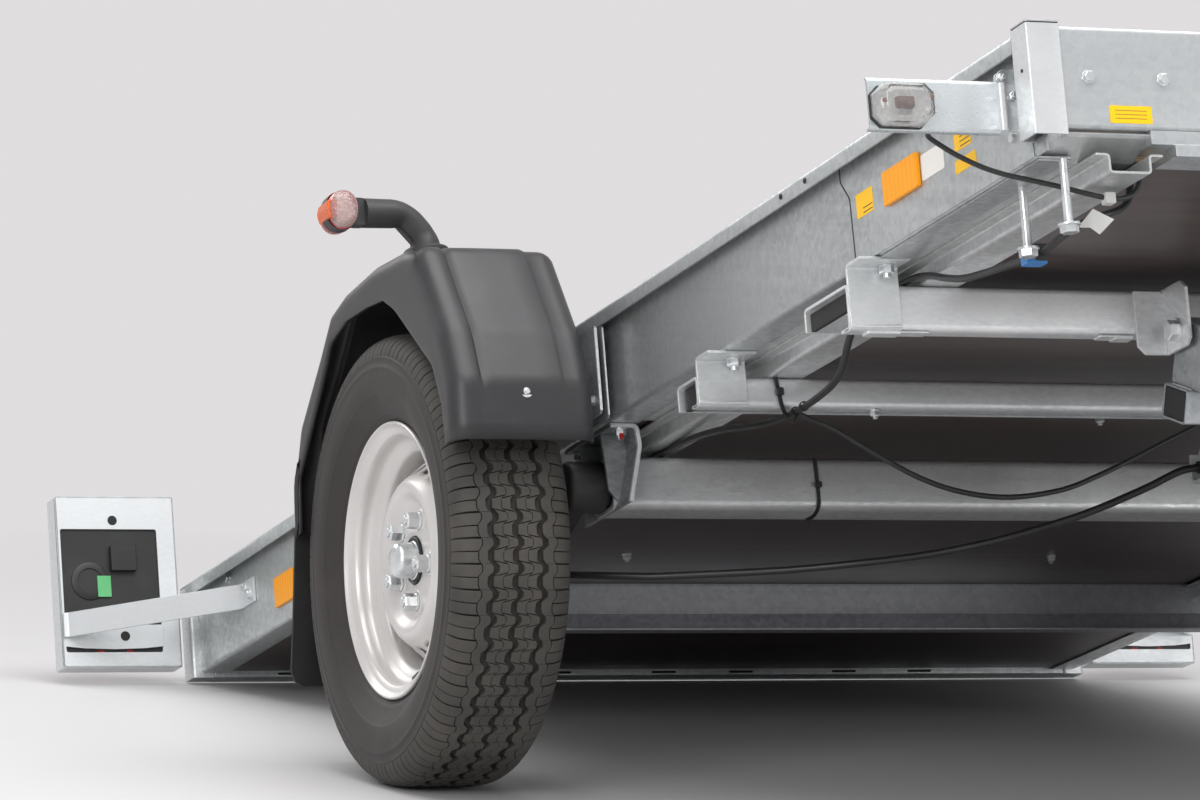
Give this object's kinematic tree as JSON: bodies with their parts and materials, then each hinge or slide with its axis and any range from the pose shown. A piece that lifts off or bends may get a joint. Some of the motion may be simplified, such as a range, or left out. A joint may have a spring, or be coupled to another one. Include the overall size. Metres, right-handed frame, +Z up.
{
  "type": "tipping trailer",
  "caption": "Single-axle open tipping trailer with low folded-steel side rails, its flat plywood bed tipped back to the ground about the drawbar pivots",
  "frame": {"origin": "centre of the bounding box at ground level, under the tyres' contact patches", "axes": "X across the trailer to its left side, Y rearwards from the coupling to the tail, Z up from the ground"},
  "size_m": [2.178, 4.5092, 0.9971],
  "materials": {
    "galvanised_sheet": "zinc-coated folded sheet, fine spangle, satin, slightly streaked",
    "hot_dip_steel": "hot-dip galvanised plate, bright and rough with drips and dull patches",
    "moulded_black": "moulded black plastic and painted black steel, satin",
    "cable_sheath": "black cable sheath, satin",
    "plywood": "film-faced plywood, dark brown, smooth below and meshed above, pale ply edges",
    "tyre_rubber": "black tyre rubber, moulded tread",
    "rim_silver": "silver painted steel rim",
    "hub_steel": "dark brake drum with bright plated nuts",
    "clear_lens": "clear and orange lamp lenses on black housings",
    "red_lens": "red and orange rear lamp lens on a black housing"
  },
  "bodies": {
    "bed": {"side_rail_right": "galvanised_sheet", "side_rail_left": "galvanised_sheet", "front_post_right": "galvanised_sheet", "front_post_left": "galvanised_sheet", "rear_post_right": "galvanised_sheet", "rear_post_left": "galvanised_sheet", "hat_section_right": "galvanised_sheet", "hat_section_left": "galvanised_sheet", "swing_arm_right": "moulded_black", "swing_arm_left": "moulded_black", "mudguard_right": "moulded_black", "mudguard_left": "moulded_black", "mudflap_right": "moulded_black", "mudflap_left": "moulded_black", "rear_lamp_carrier_right": "galvanised_sheet", "rear_lamp_carrier_left": "galvanised_sheet", "brake_cable_right": "cable_sheath", "brake_cable_left": "cable_sheath", "front_lamp_lead_right": "cable_sheath", "front_lamp_lead_left": "cable_sheath", "front_board": "galvanised_sheet", "front_profile": "galvanised_sheet", "floor_panel": "plywood", "front_cross_beam": "hot_dip_steel", "second_cross_beam": "hot_dip_steel", "rear_bearer": "galvanised_sheet", "rear_beam": "galvanised_sheet", "beam_cleats": "galvanised_sheet", "pivot_brackets": "hot_dip_steel", "pivot_bolts": "galvanised_sheet", "axle_beam": "hot_dip_steel", "axle_brackets": "hot_dip_steel", "brake_plates": "moulded_black", "guard_plates": "galvanised_sheet", "lamp_arms": "moulded_black", "marker_lamps": "clear_lens", "front_lamp_brackets": "galvanised_sheet", "front_lamps": "clear_lens", "rear_lamps": "red_lens", "corner_bolts": "galvanised_sheet", "cable_bracket": "galvanised_sheet", "light_cable": "cable_sheath", "wiring_harness": "cable_sheath"},
    "drawbar": {"drawbar_arm_right": "galvanised_sheet", "drawbar_arm_left": "galvanised_sheet", "drawbar_cross_tube": "galvanised_sheet", "drawbar_nose": "galvanised_sheet", "drawbar_gusset": "galvanised_sheet", "coupling_head": "hot_dip_steel", "coupling_lever": "moulded_black", "jockey_clamp": "hot_dip_steel", "jockey_leg": "galvanised_sheet", "jockey_wheel": "tyre_rubber"},
    "wheel_right": {"tyre_right": "tyre_rubber", "rim_right": "rim_silver", "hub_right": "hub_steel"},
    "wheel_left": {"tyre_left": "tyre_rubber", "rim_left": "rim_silver", "hub_left": "hub_steel"}
  },
  "joints": [
    {"name": "drawbar_pivot", "type": "hinge", "parent": "bed", "child": "drawbar", "pos_m": [0, -0.30944, 0.64688], "axis": [1, 0, 0], "range_deg": [-23, 0]},
    {"name": "wheel_right_spin", "type": "hinge", "parent": "bed", "child": "wheel_right", "pos_m": [-0.9065, 0.71565, 0.297], "axis": [1, 0, 0], "continuous": true},
    {"name": "wheel_left_spin", "type": "hinge", "parent": "bed", "child": "wheel_left", "pos_m": [0.9065, 0.71565, 0.297], "axis": [1, 0, 0], "continuous": true}
  ]
}
